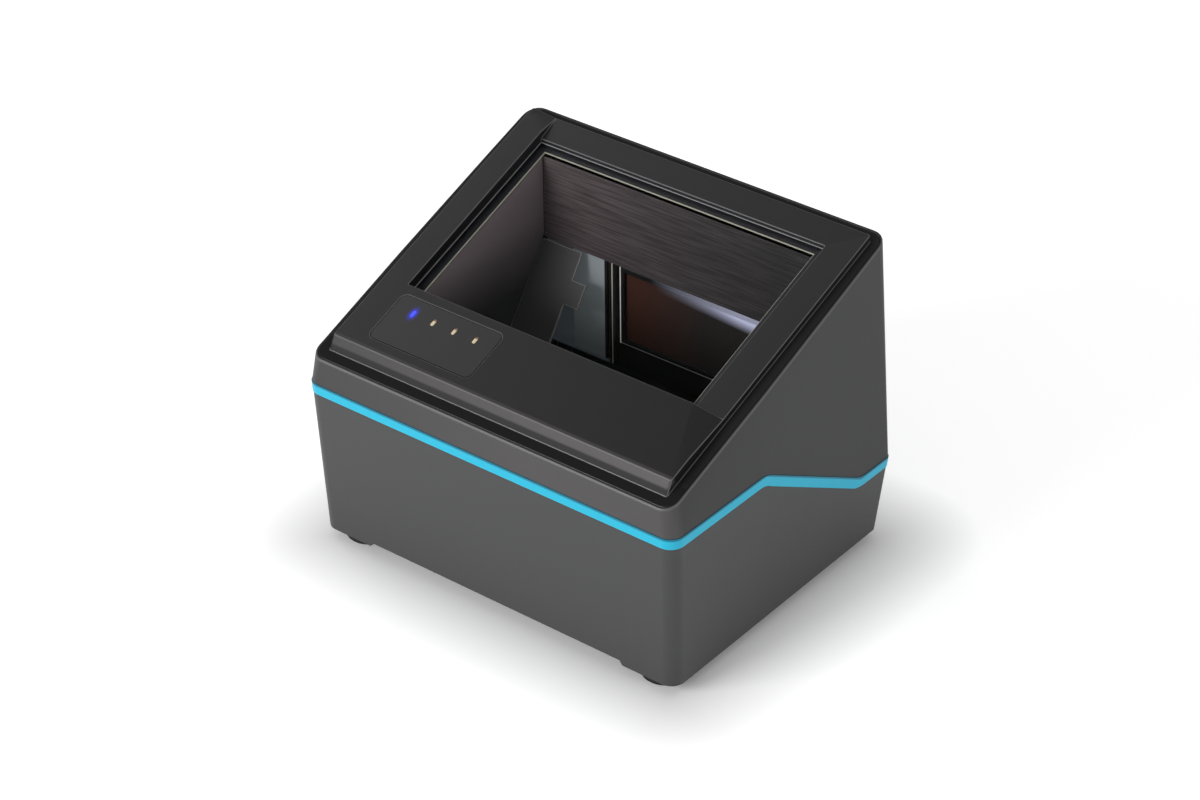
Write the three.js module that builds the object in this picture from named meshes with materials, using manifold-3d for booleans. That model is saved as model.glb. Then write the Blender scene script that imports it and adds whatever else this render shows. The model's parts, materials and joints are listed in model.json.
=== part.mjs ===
// Passport scanner: a desktop document reader with a sloped glass window.
// Millimetres, +Z up, the front faces -Y, the origin is on the table under the middle of the case.

import * as THREE from 'three';
import { mergeVertices } from 'three/addons/utils/BufferGeometryUtils.js';
import Module from 'manifold-3d';

const wasm = await Module();
wasm.setup();

// Case
const caseWidth = 186;
const caseDepth = 144;
const cornerFront = 6;
const cornerBack = 3;
const topCornerFront = 6.2;
const topCornerBack = 7;
const cornerLeast = 0.5;
const wall = 2.2;
const clearance = 0.3;
const overrun = 1;
const rimHeight = 4.9;
const rimInsetFront = 3.2;
const rimInsetSideFront = 1.9;
const rimInsetSideBack = 3.4;
const rimInsetBack = 3;
const floorRecess = 2;
const floorThickness = 2.4;
const notchHalfWidth = 65.5;
const notchEnd = 1.2;

// Parting line and the coloured strip in it
const stripTopFront = 76.3;
const stripTopBack = 40.6;
const stripHeight = 4.9;
const stripThickness = 2.8;
const stripProud = 0.3;
const stripGap = 0.15;
const dipStart = 58.3;
const dipEndFromBack = 21.3;
const bendRadius = 15;
const tongueWall = 1.4;
const tongueReach = 3;
const tongueRoot = 6;

// Sloped top of the upper housing
const slopeAngle = THREE.MathUtils.degToRad(21.4);
const borderHeight = 88;
const topInsetFront = 0.6;
const topInsetSideFront = 2;
const topInsetSideBack = 2.7;
const topInsetBack = 3;
const topSideBow = 0.5;
const topFillet = 0.9;
const borderFront = 5.5;
const borderSide = 6;
const borderBack = 5.5;

// Bezel: heights are measured straight up from the border around it
const ledgeHeight = 4.7;
const bandHeight = 2.85;
const bandInnerHeight = 1.6;
const rearLeftHeight = 4;
const frontFaceSetback = 3.05;
const scarfRun = 21.6;
const bezelCornerRadius = 0.9;
const bezelSkirt = 5;
const faceOvershoot = 2;
const tierInset = 1.1;
const tierThickness = 0.9;
const tierGap = 0.15;
const pocketWeb = 1.2;
const bezelWall = 2;
const windowMarginLeft = 12.2;
const windowMarginRight = 14.4;
const windowMarginFront = 35;
const windowMarginBack = 10.2;

// Window stack under the bezel
const glassDrop = 0.15;
const glassThickness = 1.2;
const glassLap = 5;
const gasketWall = 1;
const boardThickness = 1.2;
const boardInset = 3.5;
const boardInsetBack = 2.5;

// Status panel with four lights
const panelLeft = 13.7;
const panelWidth = 52.6;
const panelLength = 24.6;
const panelBack = 2.8;
const panelDepth = 0.9;
const panelThickness = 0.5;
const panelRadius = 3;
const lightCount = 4;
const lightPitch = 10.8;
const lightFromLeft = 10.4;
const lightFromBack = 7.2;
const lightWidth = 1.5;
const lightLength = 3.4;
const lightGap = 0.15;
const lightRadius = 0.6;
const statusBoardMargin = 3;
const statusBoardBack = 1.2;
const statusBoardFront = 13;

// Optics chamber
const chuteWall = 1.6;
const chuteBottom = 44;
const chuteRearCorner = 96.8;
const shieldRun = 36;
const chuteFlange = 5;
const sheetThickness = 0.8;
const sheetBottom = 95;
const shieldWidth = 21;
const shieldStart = 2;
const shieldTabWidth = 7.3;
const shieldTabStart = 14;
const shieldTabEnd = 24.5;
const shieldThickness = 1.2;
const chuteFloorThickness = 2;
const bulkheadThickness = 2;
const bulkheadStandoff = 3;
const diffuserWidth = 18;
const diffuserThickness = 1;
const diffuserFromShield = 7;
const edgeBoardThickness = 1;
const edgeBoardDepth = 14;
const edgeBoardFromDiffuser = 3.6;
const paneFromEdgeBoard = 3.2;
const paneRightInset = 10.6;
const paneBottom = 58;
const paneFrame = 2.2;
const paneFrameDepth = 2.6;
const paneThickness = 1;

// Camera
const lensHeight = 62;
const lensRadius = 7;
const lensLength = 16;
const lensRim = 1.2;
const lensGlassThickness = 1.5;
const holderSize = 22;
const holderDepth = 9;
const cameraBoardSize = 32;
const cameraBoardThickness = 1.2;
const cameraScrewInset = 3.4;
const cameraStudRadius = 2.6;
const connectorWidth = 12;
const connectorDepth = 4;
const connectorHeight = 4;
const ribbonWidth = 9;
const ribbonThickness = 0.4;

// Base electronics and sockets
const boardGap = 0.8;
const boardFrontMargin = 18.6;
const boardSetback = 3;
const mainBoardThickness = 1.6;
const standoffHeight = 4;
const standoffRadius = 3.5;
const standoffInset = 6;
const chipSize = 22;
const chipHeight = 2.2;
const beeperRadius = 6;
const beeperHeight = 6;
const usbWidth = 12;
const usbHeight = 11;
const usbDepth = 16;
const usbWall = 1;
const usbCavity = 10;
const usbTongueWidth = 5.6;
const usbTongueHeight = 3.2;
const usbTongueLength = 5;
const usbFromMiddle = 22;
const jackWidth = 9;
const jackHeight = 11;
const jackDepth = 14;
const jackBore = 3.2;
const jackCavity = 10;
const jackPinRadius = 1;
const jackPinLength = 5;
const jackFromMiddle = 8;
const socketSetback = 0.6;
const beeperPort = 1.4;
const beeperX = -40;
const beeperFromBack = 70;
const screwCrown = 0.7;
const screwShoulder = 0.6;

// Feet and fasteners
const footRadius = 9.4;
const footInsetX = 15.8;
const footInsetY = 15.2;
const footPlugRadius = 2.9;
const footPlugLength = 6;
const footChamfer = 0.8;
const columnRadius = 5.4;
const columnRib = 2.2;
const headRadius = 2.9;
const headHeight = 2;
const shankRadius = 1.5;
const columnSeat = 8;
const screwReach = 9;
const postRadius = 3.5;
const postInset = 2.8;
const postRearInset = 4.8;
const chutePostFront = 6.4;
const bulkheadPostBack = 13.5;
const smallHeadRadius = 2.6;
const smallHeadHeight = 1.6;
const smallShankRadius = 1.2;
const smallShankLength = 8;
const boardScrewLength = 5;
const smallBoreDepth = 9;

// Facets
const cornerSteps = 6;
const bendSteps = 5;
const filletSteps = 3;
const roundSides = 20;
const boreSides = 12;
const footSides = 32;
const screwSides = 12;

const halfWidth = caseWidth / 2;
const halfDepth = caseDepth / 2;
const slopeRise = Math.tan(slopeAngle);
const slopeRun = Math.cos(slopeAngle);
const beyond = 2 * caseWidth;

// Height of the sloped border of the upper housing at a place along the depth
const borderAt = (y) => borderHeight + slopeRise * (y + halfDepth);

// Solids from three.js geometry

function toSolid(geometry) {
  const bare = new THREE.BufferGeometry();
  bare.setAttribute('position', geometry.getAttribute('position').clone());
  if (geometry.index) bare.setIndex(geometry.index.clone());
  const merged = mergeVertices(bare);
  const mesh = new wasm.Mesh({
    numProp: 3,
    vertProperties: new Float32Array(merged.getAttribute('position').array),
    triVerts: new Uint32Array(merged.index.array),
  });
  return new wasm.Manifold(mesh);
}

function toGeometry(solid) {
  const mesh = solid.getMesh();
  const geometry = new THREE.BufferGeometry();
  geometry.setAttribute('position', new THREE.BufferAttribute(new Float32Array(mesh.vertProperties), 3));
  geometry.setIndex(new THREE.BufferAttribute(new Uint32Array(mesh.triVerts), 1));
  const flat = geometry.toNonIndexed();
  flat.computeVertexNormals();
  return flat;
}

// Closed skin through rings of equal count; each ring mirrors itself about X = 0
function loft(rings) {
  const count = rings[0].length;
  const positions = rings.flat(2);
  const index = [];
  for (let level = 0; level + 1 < rings.length; level += 1) {
    for (let i = 0; i < count; i += 1) {
      const j = (i + 1) % count;
      const a = level * count + i;
      const b = level * count + j;
      index.push(a, b, b + count, a, b + count, a + count);
    }
  }
  const last = (rings.length - 1) * count;
  for (let i = 0; i + 1 < count / 2; i += 1) {
    const mirrored = count - 1 - i;
    index.push(i, mirrored, mirrored - 1, i, mirrored - 1, i + 1);
    index.push(last + i, last + mirrored - 1, last + mirrored, last + i, last + i + 1, last + mirrored - 1);
  }
  const geometry = new THREE.BufferGeometry();
  geometry.setAttribute('position', new THREE.Float32BufferAttribute(positions, 3));
  geometry.setIndex(index);
  return toSolid(geometry);
}

// Column over a rectangle, between two heights given as functions of x and y
function column(x0, x1, y0, y1, lowAt, highAt) {
  const geometry = new THREE.BoxGeometry(1, 1, 1);
  const position = geometry.getAttribute('position');
  for (let i = 0; i < position.count; i += 1) {
    const x = position.getX(i) < 0 ? x0 : x1;
    const y = position.getY(i) < 0 ? y0 : y1;
    const z = position.getZ(i) < 0 ? lowAt(x, y) : highAt(x, y);
    position.setXYZ(i, x, y, z);
  }
  return toSolid(geometry);
}

const level = (z) => () => z;
const above = (height) => (x, y) => borderAt(y) + height;

function box(x0, x1, y0, y1, z0, z1) {
  return column(x0, x1, y0, y1, level(z0), level(z1));
}

function cylinder(radius, x, y, z0, z1, sides = roundSides) {
  const geometry = new THREE.CylinderGeometry(radius, radius, z1 - z0, sides);
  geometry.rotateX(Math.PI / 2);
  geometry.translate(x, y, (z0 + z1) / 2);
  return toSolid(geometry);
}

// Linear surface through three points, as a height over x and y
function planeThrough(a, b, c) {
  const plane = new THREE.Plane().setFromCoplanarPoints(
    new THREE.Vector3(...a),
    new THREE.Vector3(...b),
    new THREE.Vector3(...c),
  );
  const { normal, constant } = plane;
  return (x, y) => -(constant + normal.x * x + normal.y * y) / normal.z;
}

// Outline in the Y-Z plane, extruded from x0 to x1
function sidePlate(points, x0, x1) {
  const shape = new THREE.Shape(points.map(([y, z]) => new THREE.Vector2(y, z)));
  const geometry = new THREE.ExtrudeGeometry(shape, { depth: x1 - x0, bevelEnabled: false });
  geometry.applyMatrix4(new THREE.Matrix4().set(0, 0, 1, x0, 1, 0, 0, 0, 0, 1, 0, 0, 0, 0, 0, 1));
  return toSolid(geometry);
}

// Rectangle with round corners about the origin
function roundedRectangle(width, length, radius) {
  const shape = new THREE.Shape();
  const x = width / 2;
  const y = length / 2;
  shape.moveTo(-x + radius, -y);
  shape.absarc(x - radius, -y + radius, radius, -Math.PI / 2, 0, false);
  shape.absarc(x - radius, y - radius, radius, 0, Math.PI / 2, false);
  shape.absarc(-x + radius, y - radius, radius, Math.PI / 2, Math.PI, false);
  shape.absarc(-x + radius, -y + radius, radius, Math.PI, 1.5 * Math.PI, false);
  return shape;
}

function roundedSlab(width, length, radius, x, y, z0, z1) {
  const shape = roundedRectangle(width, length, radius);
  const geometry = new THREE.ExtrudeGeometry(shape, {
    depth: z1 - z0,
    bevelEnabled: false,
    curveSegments: cornerSteps / 2,
  });
  geometry.translate(x, y, z0);
  return geometry;
}

// Turned piece about the Z axis from a closed radius and height profile
function turned(profile, x, y, sides = roundSides) {
  const points = profile.map(([radius, z]) => new THREE.Vector2(radius, z));
  const geometry = new THREE.LatheGeometry(points, sides);
  geometry.rotateX(Math.PI / 2);
  geometry.translate(x, y, 0);
  const solid = toSolid(geometry);
  if (solid.volume() > 0) return solid;
  const flipped = geometry.clone();
  const order = flipped.index.array;
  for (let i = 0; i < order.length; i += 3) {
    [order[i], order[i + 1]] = [order[i + 1], order[i]];
  }
  return toSolid(flipped);
}

// Sloped frame: X across, Y up the slope from the front of the case, Z square to the slope
const slopeFrame = new THREE.Group();
slopeFrame.position.set(0, -halfDepth, borderHeight);
slopeFrame.rotation.x = slopeAngle;
slopeFrame.updateMatrixWorld(true);

const alongSlope = (y) => (y + halfDepth) / slopeRun;
const squareToSlope = (height) => height * slopeRun;

function slopedBox(x0, x1, s0, s1, h0, h1) {
  const geometry = new THREE.BoxGeometry(x1 - x0, s1 - s0, h1 - h0);
  geometry.translate((x0 + x1) / 2, (s0 + s1) / 2, (h0 + h1) / 2);
  return geometry;
}

function inWorld(geometry) {
  return toSolid(geometry.clone().applyMatrix4(slopeFrame.matrixWorld));
}

// Parting line: level at the front, a dip along each side, level again at the back

const dipStartY = dipStart - halfDepth;
const dipEndY = halfDepth - dipEndFromBack;
const dipSlope = (stripTopFront - stripTopBack) / (dipEndY - dipStartY);
const dipAngle = Math.atan(dipSlope);
const bendTangent = bendRadius * Math.tan(dipAngle / 2);
const bendSpan = bendRadius * Math.sin(dipAngle);

function partingAt(y) {
  const start = dipStartY - bendTangent;
  const end = dipEndY + bendTangent;
  if (y <= start) return stripTopFront;
  if (y >= end) return stripTopBack;
  if (y < start + bendSpan) {
    return stripTopFront - bendRadius + Math.sqrt(bendRadius ** 2 - (y - start) ** 2);
  }
  if (y > end - bendSpan) {
    return stripTopBack + bendRadius - Math.sqrt(bendRadius ** 2 - (end - y) ** 2);
  }
  return stripTopFront - dipSlope * (y - dipStartY);
}

function partingSlopeAt(y) {
  const step = stripGap;
  return (partingAt(y + step) - partingAt(y - step)) / (2 * step);
}

const stripTopAt = (y) => partingAt(y);
const stripBottomAt = (y) => partingAt(y) - stripHeight * Math.sqrt(1 + partingSlopeAt(y) ** 2);

const sideStations = [];
for (let i = 0; i <= bendSteps; i += 1) {
  sideStations.push(dipStartY - bendTangent + (bendSpan * i) / bendSteps);
}
for (let i = 0; i <= bendSteps; i += 1) {
  sideStations.push(dipEndY + bendTangent - bendSpan + (bendSpan * i) / bendSteps);
}
const sideSpan = caseDepth - cornerFront - cornerBack;
const stationShares = sideStations.map((y) => (y + halfDepth - cornerFront) / sideSpan);

// Insets, corner radii and side bow of the case at the parting line, at the rim and at the sloped top
const partingEdge = {
  front: 0,
  back: 0,
  sideFront: 0,
  sideBack: 0,
  sideBow: 0,
  cornerFront,
  cornerBack,
};
const rimEdge = {
  front: rimInsetFront,
  back: rimInsetBack,
  sideFront: rimInsetSideFront,
  sideBack: rimInsetSideBack,
  sideBow: 0,
  cornerFront,
  cornerBack,
};
const topEdge = {
  front: topInsetFront,
  back: topInsetBack,
  sideFront: topInsetSideFront,
  sideBack: topInsetSideBack,
  sideBow: topSideBow,
  cornerFront: topCornerFront,
  cornerBack: topCornerBack,
};

// Outline of the case, drawn from the front right corner round to the front left one
function caseOutline(edge, offset) {
  const half = [];
  const corner = (cx, cy, radius, from) => {
    for (let i = 0; i <= cornerSteps; i += 1) {
      const angle = from + (Math.PI / 2) * (i / cornerSteps);
      half.push([cx + radius * Math.cos(angle), cy + radius * Math.sin(angle)]);
    }
  };
  const radiusFront = Math.max(edge.cornerFront - offset, cornerLeast);
  const radiusBack = Math.max(edge.cornerBack - offset, cornerLeast);
  const xFront = halfWidth - edge.sideFront - offset;
  const xBack = halfWidth - edge.sideBack - offset;
  const yFront = -halfDepth + edge.front + offset + radiusFront;
  const yBack = halfDepth - edge.back - offset - radiusBack;
  corner(xFront - radiusFront, yFront, radiusFront, -Math.PI / 2);
  stationShares.forEach((share) => {
    const bow = edge.sideBow * Math.sin(Math.PI * share);
    half.push([xFront + (xBack - xFront) * share + bow, yFront + (yBack - yFront) * share]);
  });
  corner(xBack - radiusBack, yBack, radiusBack, 0);
  const mirrored = half.map(([x, y]) => [-x, y]).reverse();
  return [...half, ...mirrored];
}

const partingOutline = (offset) => caseOutline(partingEdge, offset);

const partingRing = partingOutline(0);
const partingHeights = partingRing.map(([, y]) => stripTopAt(y));
const stripBottoms = partingRing.map(([, y]) => stripBottomAt(y));

// Ring on the lower housing's skin, leaning in from the parting line to the rim and upright above it
function lowerRing(offset, heights) {
  const rim = caseOutline(rimEdge, offset);
  return partingOutline(offset).map(([x, y], i) => {
    const share = Math.min((heights[i] - rimHeight) / (partingHeights[i] - rimHeight), 1);
    const [rimX, rimY] = rim[i];
    return [rimX + (x - rimX) * share, rimY + (y - rimY) * share, heights[i]];
  });
}

// Ring on the upper housing's skin, leaning in from the parting line to the sloped top
function upperRing(offset, share, drop) {
  const top = caseOutline(topEdge, offset);
  return partingOutline(offset).map(([x, y], i) => {
    const [topX, topY] = top[i];
    const height = borderAt(topY) - drop;
    const z = partingHeights[i] + (height - partingHeights[i]) * share;
    return [x + (topX - x) * share, y + (topY - y) * share, z];
  });
}

const flatRing = (value) => partingRing.map(() => value);
const shifted = (heights, shift) => heights.map((z) => z + shift);

// Bezel plan and window opening
const topHalfWidth = halfWidth - topInsetSideFront;
const bezelHalf = topHalfWidth - borderSide;
const bezelFront = -halfDepth + topInsetFront + borderFront;
const bezelBack = halfDepth - topInsetBack - borderBack;
const windowLeft = -bezelHalf + windowMarginLeft;
const windowRight = bezelHalf - windowMarginRight;
const windowFront = bezelFront + windowMarginFront;
const windowBack = bezelBack - windowMarginBack;

// Feet, columns and the screws in them
const footX = halfWidth - footInsetX;
const footY = halfDepth - footInsetY;
const footPlaces = [
  ['front_left', -footX, -footY],
  ['front_right', footX, -footY],
  ['rear_left', -footX, footY],
  ['rear_right', footX, footY],
];
const floorBottom = rimHeight + floorRecess;
const floorTop = floorBottom + floorThickness;
const columnTopAt = (y) => stripBottomAt(y) - wall;
const bezelUnderAt = (y) => borderAt(y) - bezelSkirt - clearance;

function lowerHousing() {
  const skin = loft([
    lowerRing(0, flatRing(rimHeight)),
    lowerRing(0, stripBottoms),
  ]);
  const hollow = loft([
    lowerRing(wall, flatRing(floorTop)),
    lowerRing(wall, shifted(stripBottoms, overrun)),
  ]);
  const under = loft([
    lowerRing(wall, flatRing(rimHeight - overrun)),
    lowerRing(wall, flatRing(floorBottom)),
  ]);
  const tongueOut = stripThickness - stripProud + clearance;
  const tongue = loft([
    lowerRing(tongueOut, shifted(stripBottoms, -tongueRoot)),
    lowerRing(tongueOut, shifted(partingHeights, tongueReach)),
  ]);
  const root = loft([
    lowerRing(wall / 2, shifted(stripBottoms, -tongueRoot)),
    lowerRing(wall / 2, shifted(stripBottoms, -clearance)),
  ]);
  const bore = loft([
    lowerRing(tongueOut + tongueWall, shifted(stripBottoms, -tongueRoot - overrun)),
    lowerRing(tongueOut + tongueWall, shifted(partingHeights, tongueReach + overrun)),
  ]);
  let body = skin.subtract(hollow).subtract(under);
  body = body.add(tongue.add(root).subtract(bore));

  footPlaces.forEach(([, x, y]) => {
    const top = columnTopAt(y);
    const toWall = Math.sign(y) * (halfDepth - (y < 0 ? rimInsetFront : rimInsetBack) - wall / 2);
    body = body.add(cylinder(columnRadius, x, y, floorBottom, top));
    body = body.add(box(x - columnRib / 2, x + columnRib / 2, Math.min(y, toWall), Math.max(y, toWall),
      floorBottom, top - wall));
    body = body.subtract(cylinder(headRadius + clearance, x, y, floorBottom - overrun, top - columnSeat));
    body = body.subtract(cylinder(shankRadius + clearance, x, y, top - columnSeat - overrun, top + overrun));
  });
  boardScrewPlaces.forEach(([, x, y]) => {
    body = body.add(cylinder(standoffRadius, x, y, floorTop - overrun, floorTop + standoffHeight));
    body = body.subtract(cylinder(smallShankRadius + clearance, x, y, floorTop,
      floorTop + standoffHeight + overrun, boreSides));
  });
  postPlaces.forEach(([, x, y]) => {
    const top = chuteBottom - clearance;
    body = body.add(cylinder(postRadius, x, y, floorTop - overrun, top));
    body = body.subtract(cylinder(smallShankRadius + clearance, x, y, top - smallBoreDepth, top + overrun,
      boreSides));
  });

  const frontNotch = new THREE.Shape();
  frontNotch.moveTo(-notchHalfWidth, rimHeight - overrun);
  frontNotch.lineTo(notchHalfWidth, rimHeight - overrun);
  frontNotch.lineTo(notchHalfWidth, rimHeight);
  frontNotch.lineTo(notchHalfWidth - notchEnd, floorBottom);
  frontNotch.lineTo(-notchHalfWidth + notchEnd, floorBottom);
  frontNotch.lineTo(-notchHalfWidth, rimHeight);
  const notch = new THREE.ExtrudeGeometry(frontNotch, { depth: rimInsetFront + 2 * wall, bevelEnabled: false });
  notch.rotateX(Math.PI / 2);
  notch.translate(0, -halfDepth + rimInsetFront + 2 * wall, 0);
  body = body.subtract(toSolid(notch));

  const behind = halfDepth + overrun;
  const socketCut = (x, width, height) => box(x - width / 2 - clearance, x + width / 2 + clearance,
    halfDepth - rimInsetBack - 2 * wall, behind, socketBottom - clearance, socketBottom + height + clearance);
  body = body.subtract(socketCut(usbX, usbWidth, usbHeight));
  return body.subtract(socketCut(jackX, jackWidth, jackHeight));
}

function upperHousing() {
  const rings = [upperRing(0, 0, 0)];
  for (let i = 0; i <= filletSteps; i += 1) {
    const angle = (Math.PI / 2) * (i / filletSteps);
    const inset = topFillet * (1 - Math.cos(angle));
    rings.push(upperRing(inset, 1, topFillet * (1 - Math.sin(angle))));
  }
  const skin = loft(rings);
  const hollow = loft([
    shiftRing(upperRing(wall, 0, 0), -overrun),
    upperRing(wall, 0, 0),
    upperRing(wall, 1, wall / slopeRun),
  ]);
  let body = skin.subtract(hollow);
  const opening = loft([
    bezelRing(clearance, 0, level(0)),
    bezelRing(clearance, 0, level(beyond)),
  ]);
  const recess = loft([
    tierRing(tierInset, above(-tierThickness - tierGap)),
    tierRing(tierInset, above(overrun)),
  ]);
  body = body.subtract(opening).subtract(recess);
  footPlaces.forEach(([, x, y]) => {
    const low = columnTopAt(y) + clearance;
    const high = bezelUnderAt(y - columnRadius);
    const wallY = Math.sign(y) * (halfDepth - wall / 2 - (y < 0 ? topInsetFront : topInsetBack));
    const ribLow = Math.max(low + wall, partingAt(y) + tongueReach + clearance);
    body = body.add(cylinder(columnRadius, x, y, low, high));
    const ribHigh = bezelUnderAt(Math.min(y - columnRadius, wallY));
    body = body.add(box(x - columnRib / 2, x + columnRib / 2, Math.min(y, wallY), Math.max(y, wallY),
      ribLow, ribHigh));
    body = body.subtract(cylinder(shankRadius + clearance, x, y, low - overrun, low + screwReach));
  });
  return body;
}

function shiftRing(ring, dz) {
  return ring.map(([x, y, z]) => [x, y, z + dz]);
}

function accentStrip() {
  const outer = loft([
    lowerRing(-stripProud, shifted(stripBottoms, stripGap)),
    lowerRing(-stripProud, shifted(partingHeights, -stripGap)),
  ]);
  const inner = loft([
    lowerRing(stripThickness - stripProud, shifted(stripBottoms, -overrun)),
    lowerRing(stripThickness - stripProud, shifted(partingHeights, overrun)),
  ]);
  return outer.subtract(inner);
}

// Bezel outline with its front edge set back by the given amount
function bezelRing(margin, setback, heightAt) {
  const radius = bezelCornerRadius;
  const half = [];
  const corner = (cx, cy, from) => {
    for (let i = 0; i <= cornerSteps / 2; i += 1) {
      const angle = from + Math.PI * (i / cornerSteps);
      half.push([cx + radius * Math.cos(angle), cy + radius * Math.sin(angle)]);
    }
  };
  const x = bezelHalf + margin - radius;
  corner(x, bezelFront - margin + setback + radius, -Math.PI / 2);
  corner(x, bezelBack + margin - radius, 0);
  const ring = [...half, ...half.map(([px, py]) => [-px, py]).reverse()];
  return ring.map(([px, py]) => [px, py, heightAt(px, py)]);
}

// Outline of the bezel's flat tier, which lies in a shallow recess of the sloped top
function tierRing(offset, heightAt) {
  return caseOutline(topEdge, offset).map(([x, y]) => [x, y, heightAt(x, y)]);
}

function topBezel() {
  const block = loft([
    bezelRing(0, 0, above(-bezelSkirt)),
    bezelRing(0, 0, above(0)),
    bezelRing(0, frontFaceSetback * faceOvershoot, above(ledgeHeight * faceOvershoot)),
  ]);
  const tier = loft([
    tierRing(tierInset + tierGap, above(-tierThickness)),
    tierRing(tierInset + tierGap, above(0)),
  ]);
  let body = block.add(tier);
  const high = level(beyond);
  const out = bezelHalf + overrun;
  const back = bezelBack + overrun;
  body = body.subtract(column(-out, out, bezelFront - overrun, back, above(ledgeHeight), high));

  // Right and rear bands fall towards the window
  const rightBand = planeThrough(
    [bezelHalf, windowFront, borderAt(windowFront) + bandHeight],
    [bezelHalf, bezelBack, borderAt(bezelBack) + bandHeight],
    [windowRight, windowBack, borderAt(windowBack) + bandInnerHeight],
  );
  const rearBand = planeThrough(
    [windowLeft, bezelBack, borderAt(bezelBack) + bandHeight],
    [windowRight, bezelBack, borderAt(bezelBack) + bandHeight],
    [windowRight, windowBack, borderAt(windowBack) + bandInnerHeight],
  );
  body = body.subtract(column(windowRight, out, windowFront, windowBack, rightBand, high));
  body = body.subtract(column(windowLeft, windowRight, windowBack, back, rearBand, high));
  const cornerRight = column(windowRight, out, windowBack, back, rightBand, high);
  const cornerRear = column(windowRight, out, windowBack, back, rearBand, high);
  body = body.subtract(cornerRight.intersect(cornerRear));

  // Scarfs that bring the high ledges down to the low bands at their ends
  const frontScarf = planeThrough(
    [windowRight, windowFront, borderAt(windowFront) + ledgeHeight],
    [bezelHalf, windowFront, borderAt(windowFront) + bandHeight],
    [bezelHalf, windowFront - scarfRun, borderAt(windowFront - scarfRun) + ledgeHeight],
  );
  body = body.subtract(column(windowRight - windowMarginRight, out, bezelFront - overrun, windowFront,
    frontScarf, high));
  const rearScarf = planeThrough(
    [windowLeft, windowBack, borderAt(windowBack) + ledgeHeight],
    [windowLeft, bezelBack, borderAt(bezelBack) + bandHeight],
    [-bezelHalf, bezelBack, borderAt(bezelBack) + rearLeftHeight],
  );
  body = body.subtract(column(-out, windowLeft, windowBack, back, rearScarf, high));

  // Window, and the pockets for the glass stack and the status board below it
  body = body.subtract(column(windowLeft, windowRight, windowFront, windowBack, level(0), high));
  body = body.subtract(inWorld(slopedBox(windowLeft - glassPocket, windowRight + glassPocket,
    alongSlope(windowFront - glassPocket), alongSlope(windowBack + glassPocket),
    -bezelSkirt - glassPocket, glassTop + clearance)));
  body = body.subtract(column(-bezelHalf + bezelWall, bezelHalf - bezelWall,
    bezelFront + frontFaceSetback + bezelWall, windowFront - glassPocket - pocketWeb,
    level(0), above(ledgeHeight - panelDepth - bezelWall)));

  const panelHole = roundedSlab(panelWidth, panelLength, panelRadius, panelX, panelY,
    panelTop - panelDepth, panelTop + overrun);
  body = body.subtract(inWorld(panelHole));
  for (let i = 0; i < lightCount; i += 1) {
    body = body.subtract(inWorld(lightShape(i, lightGap, -bezelWall - clearance, overrun)));
  }
  return body;
}

// Window stack, in the sloped frame
const glassPocket = glassLap + gasketWall + 2 * clearance;
const glassTop = squareToSlope(-glassDrop);
const glassLeft = windowLeft - glassLap;
const glassRight = windowRight + glassLap;
const glassFront = alongSlope(windowFront - glassLap) + clearance;
const glassBack = alongSlope(windowBack + glassLap) - clearance;
const boardTop = glassTop - glassThickness - clearance;

function windowGlass() {
  return slopedBox(glassLeft, glassRight, glassFront, glassBack, glassTop - glassThickness, glassTop);
}

function frameBetween(outer, inner) {
  return toSolid(outer).subtract(toSolid(inner));
}

function windowGasket() {
  const gap = clearance;
  const reach = clearance + gasketWall;
  const low = glassTop - glassThickness;
  return frameBetween(
    slopedBox(glassLeft - reach, glassRight + reach, glassFront - reach, glassBack + reach, low, glassTop),
    slopedBox(glassLeft - gap, glassRight + gap, glassFront - gap, glassBack + gap,
      low - overrun, glassTop + overrun),
  );
}

const apertureLeft = windowLeft + boardInset;
const apertureRight = windowRight - boardInset;
const apertureFront = windowFront + boardInset;
const apertureBack = windowBack - boardInset;

function antennaBoard() {
  const low = boardTop - boardThickness;
  return frameBetween(
    slopedBox(glassLeft, glassRight, glassFront, glassBack, low, boardTop),
    slopedBox(apertureLeft, apertureRight, alongSlope(apertureFront), alongSlope(windowBack - boardInsetBack),
      low - overrun, boardTop + overrun),
  );
}

// Status panel in its pocket in the front band
const panelTop = squareToSlope(ledgeHeight);
const panelX = -bezelHalf + panelLeft + panelWidth / 2;
const panelY = alongSlope(windowFront) - panelBack - panelLength / 2;
const panelFloor = panelTop - panelDepth;
const statusBoardTop = squareToSlope(ledgeHeight - panelDepth - bezelWall) - clearance;

function lightShape(i, gap, low, high) {
  const x = panelX - panelWidth / 2 + lightFromLeft + i * lightPitch;
  const y = panelY + panelLength / 2 - lightFromBack;
  const radius = lightRadius + gap;
  return roundedSlab(lightWidth + 2 * gap, lightLength + 2 * gap, radius, x, y,
    panelFloor + low, panelFloor + high);
}

function statusPanel() {
  const low = panelFloor + clearance;
  let panel = toSolid(roundedSlab(panelWidth - 2 * clearance, panelLength - 2 * clearance,
    panelRadius - clearance, panelX, panelY, low, low + panelThickness));
  for (let i = 0; i < lightCount; i += 1) {
    panel = panel.subtract(toSolid(lightShape(i, lightGap, -overrun, panelDepth + overrun)));
  }
  return panel;
}

function statusLight(i) {
  const low = statusBoardTop + clearance - panelFloor;
  return lightShape(i, 0, low, clearance + panelThickness);
}

function statusBoard() {
  const y = panelY + panelLength / 2 - lightFromBack;
  return slopedBox(
    panelX - panelWidth / 2 + statusBoardMargin,
    panelX + panelWidth / 2 - statusBoardMargin,
    y - statusBoardFront,
    y + statusBoardBack,
    statusBoardTop - boardThickness,
    statusBoardTop,
  );
}

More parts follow.
